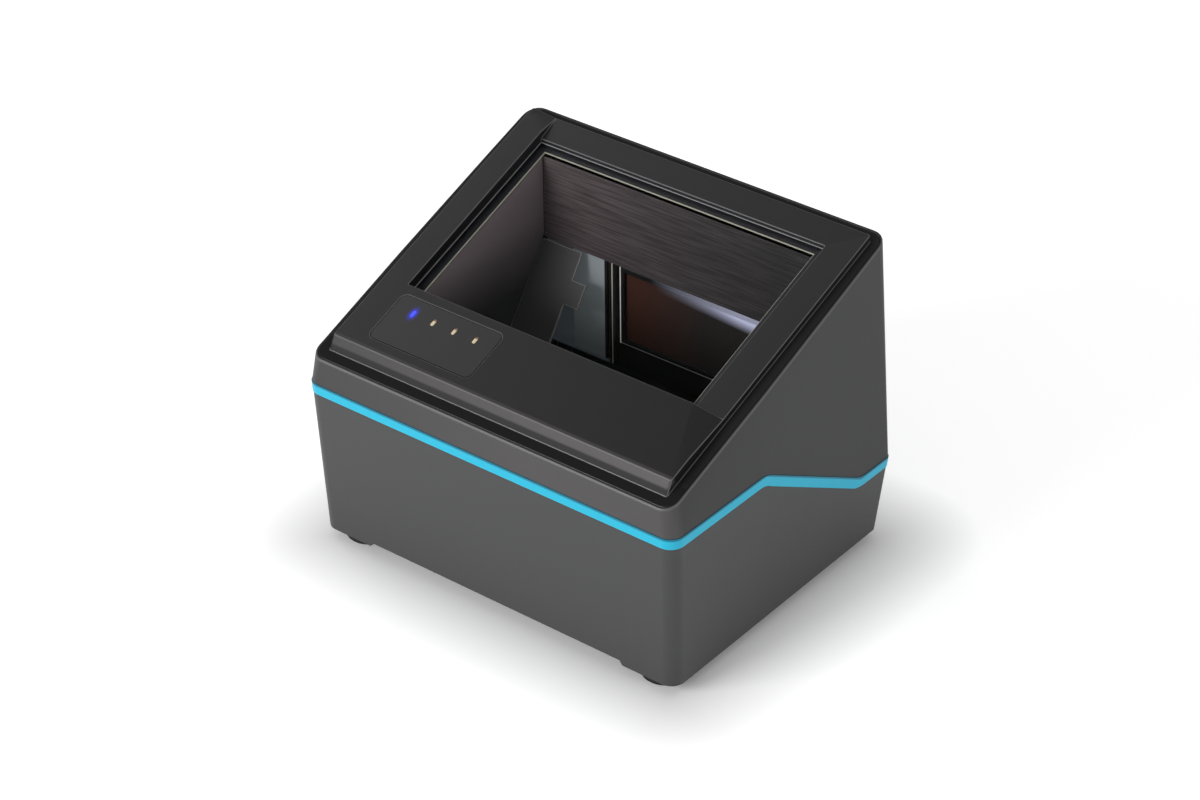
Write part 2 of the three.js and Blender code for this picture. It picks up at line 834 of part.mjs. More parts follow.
// Optics chamber
const chuteTop = (boardTop - boardThickness - clearance) / slopeRun;
const shieldRise = chuteRearCorner - chuteBottom;
const chamberRear = apertureBack;
const bulkheadFront = chamberRear + bulkheadStandoff;

function chuteSide(x0, x1) {
  const front = apertureFront - chuteWall;
  const outline = [
    [front, chuteBottom],
    [chamberRear - shieldRun, chuteBottom],
    [chamberRear, chuteRearCorner],
    [chamberRear, borderAt(chamberRear) + chuteTop],
    [front, borderAt(front) + chuteTop],
  ];
  return sidePlate(outline, x0, x1);
}

function opticsChute() {
  const front = apertureFront;
  let body = chuteSide(apertureLeft - chuteWall, apertureLeft);
  body = body.add(chuteSide(apertureRight, apertureRight + chuteWall));
  body = body.add(column(apertureLeft - chuteWall, apertureRight + chuteWall, front - chuteWall, front,
    level(chuteBottom), above(chuteTop)));
  body = body.add(column(apertureLeft - chuteFlange, apertureRight + chuteFlange,
    front - chuteFlange, front, above(chuteTop - chuteWall), above(chuteTop)));
  body = body.add(column(apertureLeft - chuteFlange, apertureLeft, front - chuteFlange, chamberRear,
    above(chuteTop - chuteWall), above(chuteTop)));
  body = body.add(column(apertureRight, apertureRight + chuteFlange, front - chuteFlange, chamberRear,
    above(chuteTop - chuteWall), above(chuteTop)));
  body = body.add(box(apertureLeft - chuteWall, apertureRight + chuteWall, front - chuteWall,
    chamberRear - shieldRun, chuteBottom, chuteBottom + chuteFloorThickness));
  body = body.subtract(lensCylinder(lensRadius + clearance, front - chuteWall - overrun,
    lensTip + clearance));
  chutePosts.forEach(([, x, y]) => {
    body = body.add(column(x - postRadius, x + postRadius, y - postRadius, y + postRadius,
      level(chuteBottom), level(chuteBottom + chuteFloorThickness)));
    body = body.subtract(cylinder(smallHeadRadius + clearance, x, y,
      chuteBottom + chuteFloorThickness, chuteBottom + chuteFloorThickness + 2 * smallHeadHeight));
    body = body.subtract(cylinder(smallShankRadius + clearance, x, y, chuteBottom - overrun,
      chuteBottom + chuteFloorThickness + overrun));
  });
  return body;
}

// Cylinder along the lens axis, from y0 to y1
function lensCylinder(radius, y0, y1) {
  const geometry = new THREE.CylinderGeometry(radius, radius, y1 - y0, roundSides);
  geometry.translate(0, (y0 + y1) / 2, lensHeight);
  return toSolid(geometry);
}

// Folded sheet across the rear of the chamber; its foot rests against the bulkhead
function backSheet() {
  const front = chamberRear + clearance;
  const sheet = column(apertureLeft, apertureRight, front, front + sheetThickness,
    level(sheetBottom), above(chuteTop));
  return sheet.add(box(apertureLeft, apertureRight, front, bulkheadFront,
    sheetBottom, sheetBottom + sheetThickness));
}

function rearBulkhead() {
  const back = bulkheadFront + bulkheadThickness;
  const left = postLeft - postRadius;
  const right = postRight + postRadius;
  let body = box(left, right, bulkheadFront, back, chuteBottom, sheetBottom + chuteFlange);
  body = body.add(box(left, right, bulkheadFront, bulkheadPostY + postRadius, chuteBottom,
    chuteBottom + chuteFloorThickness));
  body = body.subtract(box(edgeBoardX - clearance, edgeBoardX + edgeBoardThickness + clearance,
    bulkheadFront - overrun, back + overrun, diffuserBottom - clearance, diffuserTop + clearance));
  bulkheadPosts.forEach(([, x, y]) => {
    body = body.subtract(cylinder(smallShankRadius + clearance, x, y, chuteBottom - overrun,
      chuteBottom + chuteFloorThickness + overrun));
  });
  return body;
}

const diffuserBottom = chuteBottom + chuteFloorThickness + clearance;
const diffuserTop = sheetBottom - clearance;

function diffuserPanel() {
  const front = bulkheadFront - diffuserThickness;
  return box(diffuserX, diffuserX + diffuserWidth, front, bulkheadFront, diffuserBottom, diffuserTop);
}

function edgeBoard() {
  const front = chamberRear + clearance;
  return box(edgeBoardX, edgeBoardX + edgeBoardThickness, front, front + edgeBoardDepth,
    diffuserBottom, diffuserTop);
}

function framePart(inset, y0, y1) {
  return box(paneX + inset, paneX + paneWidth - inset, y0, y1, paneBottom + inset, diffuserTop - inset);
}

function paneFrameBody() {
  const front = bulkheadFront - paneFrameDepth;
  const rebate = bulkheadFront - paneThickness - clearance;
  let body = framePart(0, front, bulkheadFront);
  body = body.subtract(framePart(paneFrame, front - overrun, bulkheadFront + overrun));
  return body.subtract(framePart(paneFrame / 2, rebate, bulkheadFront + overrun));
}

function mirrorPane() {
  return framePart(paneFrame / 2 + clearance, bulkheadFront - paneThickness, bulkheadFront);
}

// Light shield on the slanted rear edge of the chute, with a tab part way down
function lightShield(side) {
  const edge = side < 0 ? apertureLeft : apertureRight;
  const inner = edge - side * shieldWidth;
  const tab = inner - side * shieldTabWidth;
  const slant = Math.hypot(shieldRun, shieldRise);
  const outline = new THREE.Shape([
    new THREE.Vector2(edge, -shieldStart),
    new THREE.Vector2(inner, -shieldStart),
    new THREE.Vector2(inner, -shieldTabStart),
    new THREE.Vector2(tab, -shieldTabStart),
    new THREE.Vector2(tab, -shieldTabEnd),
    new THREE.Vector2(inner, -shieldTabEnd),
    new THREE.Vector2(inner, -slant),
    new THREE.Vector2(edge, -slant),
  ]);
  const geometry = new THREE.ExtrudeGeometry(outline, { depth: shieldThickness, bevelEnabled: false });
  geometry.translate(0, 0, -shieldThickness - clearance);
  geometry.rotateX(Math.atan2(shieldRise, shieldRun));
  geometry.translate(0, chamberRear, chuteRearCorner);
  return toSolid(geometry);
}

// Camera behind the front wall of the chute
const cameraFront = apertureFront - chuteWall;
const holderBack = cameraFront - holderDepth;
const lensTip = holderBack + clearance + lensLength;

function lensHolder() {
  const half = holderSize / 2;
  let body = box(-half, half, holderBack, cameraFront, lensHeight - half, lensHeight + half);
  cameraScrewPlaces.forEach(([, x, z]) => {
    body = body.add(rodAlongY(cameraStudRadius, x, z, holderBack, cameraFront));
    body = body.add(box(Math.min(x, 0), Math.max(x, 0), holderBack, cameraFront,
      Math.min(z, lensHeight), Math.max(z, lensHeight)));
    body = body.subtract(rodAlongY(smallShankRadius + clearance, x, z, holderBack - overrun,
      cameraFront - wall));
  });
  return body.subtract(lensCylinder(lensRadius + clearance, holderBack - overrun, cameraFront + overrun));
}

function rodAlongY(radius, x, z, y0, y1) {
  const geometry = new THREE.CylinderGeometry(radius, radius, y1 - y0, roundSides);
  geometry.translate(x, (y0 + y1) / 2, z);
  return toSolid(geometry);
}

function lensBarrel() {
  const back = holderBack + clearance;
  const barrel = lensCylinder(lensRadius, back, back + lensLength);
  const bore = lensCylinder(lensRadius - lensRim, back - overrun, back + lensLength + overrun);
  const stop = lensCylinder(lensRadius - lensRim / 2, back + lensLength / 2,
    back + lensLength / 2 + lensRim);
  const pupil = lensCylinder(lensRadius / 2, back, back + lensLength);
  return barrel.subtract(bore).add(stop.subtract(pupil));
}

function lensGlass() {
  const back = holderBack + clearance + lensLength / 2 + lensRim + clearance;
  return lensCylinder(lensRadius - lensRim - clearance, back, back + lensGlassThickness);
}

function cameraBoard() {
  const half = cameraBoardSize / 2;
  const back = holderBack - cameraBoardThickness;
  let body = box(-half, half, back, holderBack, lensHeight - half, lensHeight + half);
  cameraScrewPlaces.forEach(([, x, z]) => {
    body = body.subtract(rodAlongY(smallShankRadius + clearance, x, z, back - overrun,
      holderBack + overrun));
  });
  return body;
}

const connectorBack = holderBack - cameraBoardThickness;
const upperConnectorZ = lensHeight - cameraBoardSize / 2 + clearance;

function cameraConnector() {
  return box(-connectorWidth / 2, connectorWidth / 2, connectorBack - connectorDepth, connectorBack,
    upperConnectorZ, upperConnectorZ + connectorHeight);
}

function mainConnector() {
  return box(-connectorWidth / 2, connectorWidth / 2, connectorBack - connectorDepth, connectorBack,
    mainBoardTop, mainBoardTop + connectorHeight);
}

function ribbonCable() {
  const y = connectorBack - connectorDepth / 2;
  return box(-ribbonWidth / 2, ribbonWidth / 2, y - ribbonThickness / 2, y + ribbonThickness / 2,
    mainBoardTop + connectorHeight, upperConnectorZ);
}

// Screw with its head above the seat, pointing down
function smallScrew(x, y, seat, length) {
  return turned([
    [0, seat - length],
    [smallShankRadius, seat - length],
    [smallShankRadius, seat],
    [smallHeadRadius, seat],
    [smallHeadRadius, seat + smallHeadHeight * screwShoulder],
    [smallHeadRadius * screwCrown, seat + smallHeadHeight],
    [0, seat + smallHeadHeight],
  ], x, y, screwSides);
}

function cameraScrew(x, z) {
  const geometry = new THREE.CylinderGeometry(smallHeadRadius, smallHeadRadius, smallHeadHeight, screwSides);
  geometry.translate(x, connectorBack - smallHeadHeight / 2, z);
  const shank = new THREE.CylinderGeometry(smallShankRadius, smallShankRadius, smallShankLength, screwSides);
  shank.translate(x, connectorBack + smallShankLength / 2 - smallHeadHeight / 2, z);
  return toSolid(geometry).add(toSolid(shank));
}

function housingScrew(x, y) {
  const seat = columnTopAt(y) - columnSeat;
  return turned([
    [0, seat - headHeight],
    [headRadius * screwCrown, seat - headHeight],
    [headRadius, seat - headHeight * screwShoulder],
    [headRadius, seat],
    [shankRadius, seat],
    [shankRadius, seat + columnSeat + screwReach - clearance],
    [0, seat + columnSeat + screwReach - clearance],
  ], x, y, screwSides);
}

function foot(x, y) {
  const top = floorBottom;
  return turned([
    [0, 0],
    [footRadius - footChamfer, 0],
    [footRadius, footChamfer],
    [footRadius, top],
    [footPlugRadius, top],
    [footPlugRadius, top + footPlugLength],
    [0, top + footPlugLength],
  ], x, y, footSides);
}

function mainBoard() {
  let body = box(-boardWidth / 2, boardWidth / 2, boardBack - boardDepth, boardBack,
    boardBottom, mainBoardTop);
  boardScrewPlaces.forEach(([, x, y]) => {
    body = body.subtract(cylinder(smallShankRadius + clearance, x, y, boardBottom - overrun,
      mainBoardTop + overrun));
  });
  return body;
}

function mainChip() {
  const y = boardBack - boardDepth / 2;
  return box(-chipSize / 2, chipSize / 2, y - chipSize / 2, y + chipSize / 2,
    mainBoardTop, mainBoardTop + chipHeight);
}

function beeper() {
  return turned([
    [0, mainBoardTop],
    [beeperRadius, mainBoardTop],
    [beeperRadius, mainBoardTop + beeperHeight],
    [beeperPort, mainBoardTop + beeperHeight],
    [beeperPort, mainBoardTop + beeperHeight - overrun],
    [0, mainBoardTop + beeperHeight - overrun],
  ], beeperX, boardBack - beeperFromBack);
}

// Sockets in the rear wall, open to the back
function usbSocket() {
  const back = socketFace;
  const top = socketBottom + usbHeight;
  const middle = (socketBottom + top) / 2;
  const body = box(usbX - usbWidth / 2, usbX + usbWidth / 2, back - usbDepth, back, socketBottom, top);
  const mouth = box(usbX - usbWidth / 2 + usbWall, usbX + usbWidth / 2 - usbWall,
    back - usbCavity, back + overrun, socketBottom + usbWall, top - usbWall);
  const tongue = box(usbX - usbTongueWidth / 2, usbX + usbTongueWidth / 2,
    back - usbCavity, back - usbCavity + usbTongueLength,
    middle - usbTongueHeight / 2, middle + usbTongueHeight / 2);
  return body.subtract(mouth).add(tongue);
}

function powerSocket() {
  const back = socketFace;
  const top = socketBottom + jackHeight;
  const z = (socketBottom + top) / 2;
  const body = box(jackX - jackWidth / 2, jackX + jackWidth / 2, back - jackDepth, back, socketBottom, top);
  const bore = rodAlongY(jackBore, jackX, z, back - jackCavity, back + overrun);
  const pin = rodAlongY(jackPinRadius, jackX, z, back - jackCavity - overrun,
    back - jackCavity + jackPinLength);
  return body.subtract(bore).add(pin);
}

const group = new THREE.Group();
group.add(slopeFrame);

// Base board and sockets
const boardBack = halfDepth - rimInsetBack - wall - boardSetback;
const boardDepth = boardBack + halfDepth - rimInsetFront - wall - boardFrontMargin;
const postLeft = apertureLeft + postInset;
const postRight = apertureRight - postInset;
const boardWidth = 2 * (postRight - postRadius - boardGap);
const boardBottom = floorTop + standoffHeight;
const mainBoardTop = boardBottom + mainBoardThickness;
const socketBottom = mainBoardTop;
const socketFace = halfDepth - rimInsetBack + socketSetback;
const usbX = -usbFromMiddle;
const jackX = jackFromMiddle;
const boardScrewPlaces = [
  ['front_left', -boardWidth / 2 + standoffInset, boardBack - boardDepth + standoffInset],
  ['front_right', boardWidth / 2 - standoffInset, boardBack - boardDepth + standoffInset],
  ['rear_left', -boardWidth / 2 + standoffInset, boardBack - standoffInset],
  ['rear_right', boardWidth / 2 - standoffInset, boardBack - standoffInset],
];

const bulkheadPostY = halfDepth - bulkheadPostBack;
const chutePosts = [
  ['front_left', postLeft, apertureFront + chutePostFront],
  ['front_right', postRight, apertureFront + chutePostFront],
  ['rear_left', postLeft, chamberRear - shieldRun - postRearInset],
  ['rear_right', postRight, chamberRear - shieldRun - postRearInset],
];
const bulkheadPosts = [
  ['left', postLeft, bulkheadPostY],
  ['right', postRight, bulkheadPostY],
];
const postPlaces = [...chutePosts, ...bulkheadPosts];
const cameraScrewPlaces = [
  ['left', -cameraBoardSize / 2 + cameraScrewInset, lensHeight - cameraBoardSize / 2 + cameraScrewInset],
  ['right', cameraBoardSize / 2 - cameraScrewInset, lensHeight + cameraBoardSize / 2 - cameraScrewInset],
];
const diffuserX = apertureLeft + shieldWidth - diffuserFromShield;
const edgeBoardX = diffuserX + diffuserWidth + edgeBoardFromDiffuser;
const paneX = edgeBoardX + edgeBoardThickness + paneFromEdgeBoard;
const paneWidth = apertureRight - paneRightInset - paneX;

function finish(color, roughness, metalness = 0) {
  return new THREE.MeshStandardMaterial({ color, roughness, metalness });
}

const darkPlastic = finish(0x3a3a3c, 0.6);
const blackPlastic = finish(0x1c1d1f, 0.55);

function add(name, shape, material, parent = group) {
  const geometry = shape.isBufferGeometry ? shape : toGeometry(shape);
  const mesh = new THREE.Mesh(geometry, material);
  mesh.name = name;
  parent.add(mesh);
  return mesh;
}

add('lower_housing', lowerHousing(), darkPlastic);
add('upper_housing', upperHousing(), darkPlastic);
add('accent_strip', accentStrip(), finish(0x4fc3e8, 0.4));
add('top_bezel', topBezel(), blackPlastic);
add('window_glass', windowGlass(), finish(0x8fa0a8, 0.05), slopeFrame);
add('window_gasket', windowGasket(), finish(0x111111, 0.9), slopeFrame);
add('antenna_board', antennaBoard(), finish(0x15181a, 0.5), slopeFrame);
add('status_panel', statusPanel(), finish(0x26272a, 0.3), slopeFrame);
for (let i = 0; i < lightCount; i += 1) {
  add(`status_light_${i + 1}`, statusLight(i), finish(i === 0 ? 0x2a50ff : 0xe8d9b8, 0.3), slopeFrame);
}
add('status_board', statusBoard(), finish(0x1d5a3a, 0.5), slopeFrame);
add('optics_chute', opticsChute(), blackPlastic);
add('back_sheet', backSheet(), finish(0x3b3230, 0.4, 0.6));
add('light_shield_left', lightShield(-1), blackPlastic);
add('light_shield_right', lightShield(1), blackPlastic);
add('diffuser_panel', diffuserPanel(), finish(0x8d98a6, 0.6));
add('edge_board', edgeBoard(), finish(0xc9b98c, 0.6));
add('rear_bulkhead', rearBulkhead(), blackPlastic);
add('pane_frame', paneFrameBody(), finish(0x77797c, 0.5));
add('mirror_pane', mirrorPane(), finish(0x2a1d1e, 0.05, 0.5));
add('camera_board', cameraBoard(), finish(0x1d5a3a, 0.5));
add('lens_holder', lensHolder(), blackPlastic);
add('lens_barrel', lensBarrel(), finish(0x202124, 0.35, 0.6));
add('lens_glass', lensGlass(), finish(0x59606e, 0.05));
add('camera_connector', cameraConnector(), finish(0xd8d2c0, 0.5));
add('main_connector', mainConnector(), finish(0xd8d2c0, 0.5));
add('ribbon_cable', ribbonCable(), finish(0xc8c8c4, 0.5));
add('main_board', mainBoard(), finish(0x1d5a3a, 0.5));
add('main_chip', mainChip(), finish(0x17181a, 0.4));
add('beeper', beeper(), finish(0x17181a, 0.4));
add('usb_socket', usbSocket(), finish(0xb4b6b8, 0.3, 1));
add('power_socket', powerSocket(), finish(0x17181a, 0.5));

const steel = finish(0xa9abad, 0.35, 1);
const postSeat = chuteBottom + chuteFloorThickness;
footPlaces.forEach(([place, x, y]) => {
  add(`foot_${place}`, foot(x, y), finish(0x121212, 0.85));
  add(`housing_screw_${place}`, housingScrew(x, y), steel);
});
boardScrewPlaces.forEach(([place, x, y]) => {
  add(`board_screw_${place}`, smallScrew(x, y, mainBoardTop, boardScrewLength), steel);
});
chutePosts.forEach(([place, x, y]) => {
  add(`chute_screw_${place}`, smallScrew(x, y, postSeat, smallShankLength), steel);
});
bulkheadPosts.forEach(([place, x, y]) => {
  add(`bulkhead_screw_${place}`, smallScrew(x, y, postSeat, smallShankLength), steel);
});
cameraScrewPlaces.forEach(([place, x, z]) => {
  add(`camera_screw_${place}`, cameraScrew(x, z), steel);
});

export default group;
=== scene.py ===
"""Looks for a desktop passport scanner: finished mouldings, materials, studio and camera."""

import json
import math

import bpy
from mathutils import Euler, Matrix, Vector

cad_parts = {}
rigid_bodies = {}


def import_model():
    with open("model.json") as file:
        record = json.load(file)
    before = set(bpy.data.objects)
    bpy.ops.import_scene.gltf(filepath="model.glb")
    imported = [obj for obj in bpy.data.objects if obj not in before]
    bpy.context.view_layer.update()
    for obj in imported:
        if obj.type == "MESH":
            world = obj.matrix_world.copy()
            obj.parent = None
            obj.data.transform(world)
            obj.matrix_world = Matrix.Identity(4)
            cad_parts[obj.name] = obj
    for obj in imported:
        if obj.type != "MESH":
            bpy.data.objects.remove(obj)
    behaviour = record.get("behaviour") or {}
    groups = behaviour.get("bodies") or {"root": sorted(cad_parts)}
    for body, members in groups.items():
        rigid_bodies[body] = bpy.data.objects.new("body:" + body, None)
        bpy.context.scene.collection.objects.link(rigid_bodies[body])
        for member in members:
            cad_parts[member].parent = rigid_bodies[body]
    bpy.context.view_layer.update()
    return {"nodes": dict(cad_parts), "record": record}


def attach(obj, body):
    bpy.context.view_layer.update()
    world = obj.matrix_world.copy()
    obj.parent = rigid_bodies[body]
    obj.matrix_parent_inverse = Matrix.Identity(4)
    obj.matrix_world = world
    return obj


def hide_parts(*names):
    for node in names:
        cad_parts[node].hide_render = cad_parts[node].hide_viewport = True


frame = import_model()

MM = 0.001
ROOT = "root"

# Camera, as fitted to the photograph: degrees and millimetres, clipping in metres
CAMERA_AZIMUTH = 39.132
CAMERA_ELEVATION = 32.673
CAMERA_ROLL = -0.724
CAMERA_DISTANCE = 1382.05
CAMERA_TARGET = (-2.415, 3.131, 64.064)
CAMERA_LENS = 102.97
SENSOR_WIDTH = 36
CLIP_START = 0.05
CLIP_END = 50

# Studio: the floor's size in metres, the case's half sizes on it and the width of the painted shadow round
# it in millimetres
BACKDROP_STRENGTH = 0.35
FLOOR_SIZE = 30
FLOOR_GLOW = (0.1, 0.6)
FLOOR_SHADE_WIDTH = 45
FLOOR_MIRRORED = 0.5
CASE_HALF_WIDTH = 88
CASE_HALF_DEPTH = 68

# From here on all places and sizes are in millimetres

# Parting line: level in front, falling along each side, level at the back
STRIP_TOP_FRONT = 76.3
STRIP_TOP_BACK = 40.6
FALL_START = -13.7
FALL_END = 50.7

# Sloped top, and where the raised part of the bezel ends on it
SLOPE = math.radians(21.4)
SLOPE_FRONT = -72
SLOPE_HEIGHT = 88
RAISED_HALF_WIDTH = 85.6
RAISED_FRONT = -66.5
RAISED_BACK = 64.1

# Window and board opening: left, right, and front and back up the slope; tops square to the slope
WINDOW = (-72.8, 70.6, 44.14, 134.58)
APERTURE = (-69.3, 67.1, 47.9, 131.9)
GLASS_TOP = -0.14
BOARD_TOP = -1.64
# Pale line round the glass's top edge, a painted highlight
GLASS_EDGE_HEIGHTS = (GLASS_TOP + 0.01, GLASS_TOP + 0.2)
GLASS_EDGE_WIDTH = 0.3
CUT_HEIGHTS = (BOARD_TOP - 0.8, BOARD_TOP - 0.1)
CUT_WIDTH = 0.2

# Lit status light, and the halo round it
LIT_ACROSS = -60.9
LIT_UP_SLOPE = 34.14
HALO_REACH = 3
HALO_SQUEEZE = 0.62

# Pane at the rear of the chamber, and the depth of the painted reflection, a pale band along its top, at
# its left and right end
PANE_LEFT = -29.5
PANE_RIGHT = 56.5
PANE_TOP = 94.7
REFLECTION_DEPTH = (3, 8)

# Changes of tone: where the middle of each lies and how wide it is
OVER_STRIP = (0, 0.5)
STRIP_SHADE = (1.0, 0.3)
FRONT_ACROSS = (-35, 110)
FRONT_TO_SIDE = (-67, 4)
RIM_FOOT = (-0.7, 0.3)
RIM_TOP = (-0.08, 0.05)
TIER_TOP = (0.12, 0.1)
LEDGE_TOP = (4.6, 0.1)
FRONT_FACE_END = (13, 0.5)
FRONT_FACE_FOOT = (1.9, 0.6)
FRONT_FACE_ACROSS = (0, 170)
BEZEL_UP_SLOPE = (100, 80)
RAISED_EDGE = (0, 0.1)
CREAM_TO_BROWN = (0.68, 0.5)
SHEET_ACROSS = (-10, 120)
CHAMBER_UP = (92, 30)
CHAMBER_FLOOR = (49, 3)
CHAMBER_REAR = (52.6, 0.5)
DIFFUSER_UP = (62, 26)
DIFFUSER_RIGHT = (-37.3, 0.5)
DIFFUSER_PALE_END = (-38.8, 0.2)
BOARD_EDGE_BACK = (50.5, 0.1)
BOARD_EDGE_RIGHT = (-33.15, 0.1)
INSIDE_FRAME = (94.7, 0.5)
REFLECTION_LOWER = (0, 5)

# Lines on the frame of the pane: start, end and softness
FRAME_FOOT_LINE = (56.4, 58.5, 0.3)
FRAME_SIDE_LINE = (-30.6, -29.0, 0.3)

# Changes of tone by share: of the way along the pane, and of the height of the brush lines
PANE_ACROSS = (0.3, 0.4)
REFLECTION_ACROSS = (0.44, 0.5)
BRUSH_LINES = (0.5, 0.22)

# Grain and brush lines
GRAIN_SCALE = 1700
GRAIN_DETAIL = 3
GRAIN_STRENGTH = 0.35
GRAIN_DEPTH = 0.08
BRUSH_SCALE = 1500
BRUSH_DETAIL = 5
BRUSH_STRETCH = (0.03, 1, 1)
BRUSH_TURN = (0, math.radians(14), 0)

# Roughness from one look to another: hollow to top of the grain, tier to raised part, line to line
HOUSING_ROUGHNESS = (0.36, 0.48)
BEZEL_ROUGHNESS = (0.78, 0.43)
FRONT_FOOT_ROUGHNESS = 0.2
SHEET_ROUGHNESS = (0.35, 0.65)

# Share of the diffuser's pale tone, from its foot to its top
DIFFUSER_FADE = (0.4, 1)

# Small rounded edges; those of the bezel that lie lower than the foot of its tier stay sharp
EDGE_SEGMENTS = 2
SHARP_ANGLE = math.radians(30)
FLAT_ANGLE = math.radians(0.2)
MERGE_DISTANCE = 0.003
CASE_ROUNDING = 0.3
STRIP_ROUNDING = 0.25
PLATE_ROUNDING = 0.2
TIER_FOOT = -0.4

# Limits for a face's direction: a plate's narrow faces are below, a ring's level faces above
NARROW_FACE = 0.5
LEVEL_FACE = 0.9

# Tones of the case
LOWER_GREY = (0.0615, 0.0618, 0.0635)
# Upper housing: painted shade on its sides, and painted light on its front that is lighter towards the
# right
UPPER_SIDE_SHADE = (0.025, 0.0255, 0.0265)
FRONT_LIT_LEFT = (0.046, 0.0448, 0.045)
FRONT_LIT_RIGHT = (0.078, 0.074, 0.0745)
# Painted highlight along the outer edge of the sloped top
RIM_HIGHLIGHT = (0.13, 0.13, 0.132)
SLOPE_GREY = (0.009, 0.009, 0.0093)
STRIP_BLUE = (0.01, 0.59, 0.85)
# Painted shade along the strip's upper edge
STRIP_SHADED_BLUE = (0.0, 0.24, 0.37)

# Tones of the bezel and its lights
BEZEL_GREY = (0.0038, 0.0038, 0.004)
# Painted sheen on the bezel, lighter towards the back
BEZEL_BACK_SHEEN = (0.013, 0.013, 0.014)
# Painted highlight on the small rounded edges of the bezel's raised part
EDGE_HIGHLIGHT_GREY = (0.12, 0.12, 0.124)
# Painted highlight on the bezel's slanted front face, warmer and lighter towards the right
FRONT_FACE_HIGHLIGHT_LEFT = (0.024, 0.021, 0.021)
FRONT_FACE_HIGHLIGHT_RIGHT = (0.046, 0.039, 0.039)
TIER_BLACK = (0.002, 0.002, 0.0023)
PANEL_BLACK = (0.018, 0.018, 0.019)
HALO_BLUE = (0.045, 0.03, 1.0)
LAMP_BLUE = (0.02, 0.05, 0.6)
LAMP_BLUE_GLOW = (0.03, 0.06, 1.0)
CREAM = (0.85, 0.7, 0.46)
CREAM_BROWN = (0.2, 0.11, 0.075)

# Tones of the chamber
# Painted light on the brushed sheet: lighter and warmer at the left, darker to the right
SHEET_PALE_LIT = (0.165, 0.135, 0.142)
SHEET_PALE_SHADED = (0.06, 0.058, 0.06)
SHEET_DARK_LIT = (0.09, 0.07, 0.074)
SHEET_DARK_SHADED = (0.026, 0.025, 0.027)
CHAMBER_LOW = (0.066, 0.071, 0.073)
# Painted light high up on the chamber walls
CHAMBER_LIT_HIGH = (0.32, 0.27, 0.285)
CHAMBER_BLACK = (0.004, 0.004, 0.0045)
REAR_GREY = (0.25, 0.29, 0.3)
REAR_GLOW = (0.018, 0.022, 0.025)
DIFFUSER_GREY = (0.42, 0.47, 0.49)
DIFFUSER_BLACK = (0.006, 0.006, 0.007)
DIFFUSER_GLOW = (0.045, 0.052, 0.055)
BOARD_PALE = (0.85, 0.8, 0.62)
BOARD_BLACK = (0.01, 0.01, 0.011)
FRAME_BLACK = (0.01, 0.01, 0.01)
FRAME_FOOT_GREY = (0.7, 0.7, 0.72)
# Painted highlight, glowing, along the frame's left side
FRAME_SIDE_HIGHLIGHT = (0.95, 0.93, 0.9)
FRAME_SIDE_HIGHLIGHT_GLOW = (0.3, 0.29, 0.28)
# Painted reflections in the pane: red-brown at its left, and a pale, glowing band along its top
PANE_REFLECTED_BROWN = (0.082, 0.034, 0.025)
PANE_GREY = (0.036, 0.032, 0.031)
PANE_REFLECTION = (0.62, 0.65, 0.85)
PANE_REFLECTION_GLOW = (0.2, 0.21, 0.3)

BLACK = (0, 0, 0)
WHITE = (1, 1, 1)

# Places of the colour sockets on a Mix node
MIX_SHARE = 0
MIX_FIRST = 6
MIX_SECOND = 7
MIX_RESULT = 2


# Shader values

class Value:
    """A number or colour that varies over a surface; arithmetic on it adds Math nodes."""

    def __init__(self, finish, socket):
        self.finish = finish
        self.socket = socket

    def apply(self, operation, *others):
        inputs = dict(enumerate((self, *others)))
        return self.finish.add("ShaderNodeMath", inputs, operation=operation)

    def __add__(self, other):
        return self.apply("ADD", other)

    def __mul__(self, other):
        return self.apply("MULTIPLY", other)

    def __sub__(self, other):
        return self.apply("SUBTRACT", other)

    def __rsub__(self, other):
        return (self * -1) + other

    def clamped(self, low, high):
        return self.apply("MAXIMUM", low).apply("MINIMUM", high)

    def above(self, middle, width):
        """0 below and 1 above, with the change spread evenly over the width about the middle."""
        return ((self - middle) * (1 / width) + 0.5).clamped(0, 1)

    def within(self, low, high, width):
        """1 from low to high and 0 outside, with each change spread over the width."""
        return self.above(low, width) * (1 - self.above(high, width))

    def between(self, first, second):
        """The first number where this is 0 and the second where it is 1."""
        return self * (second - first) + first


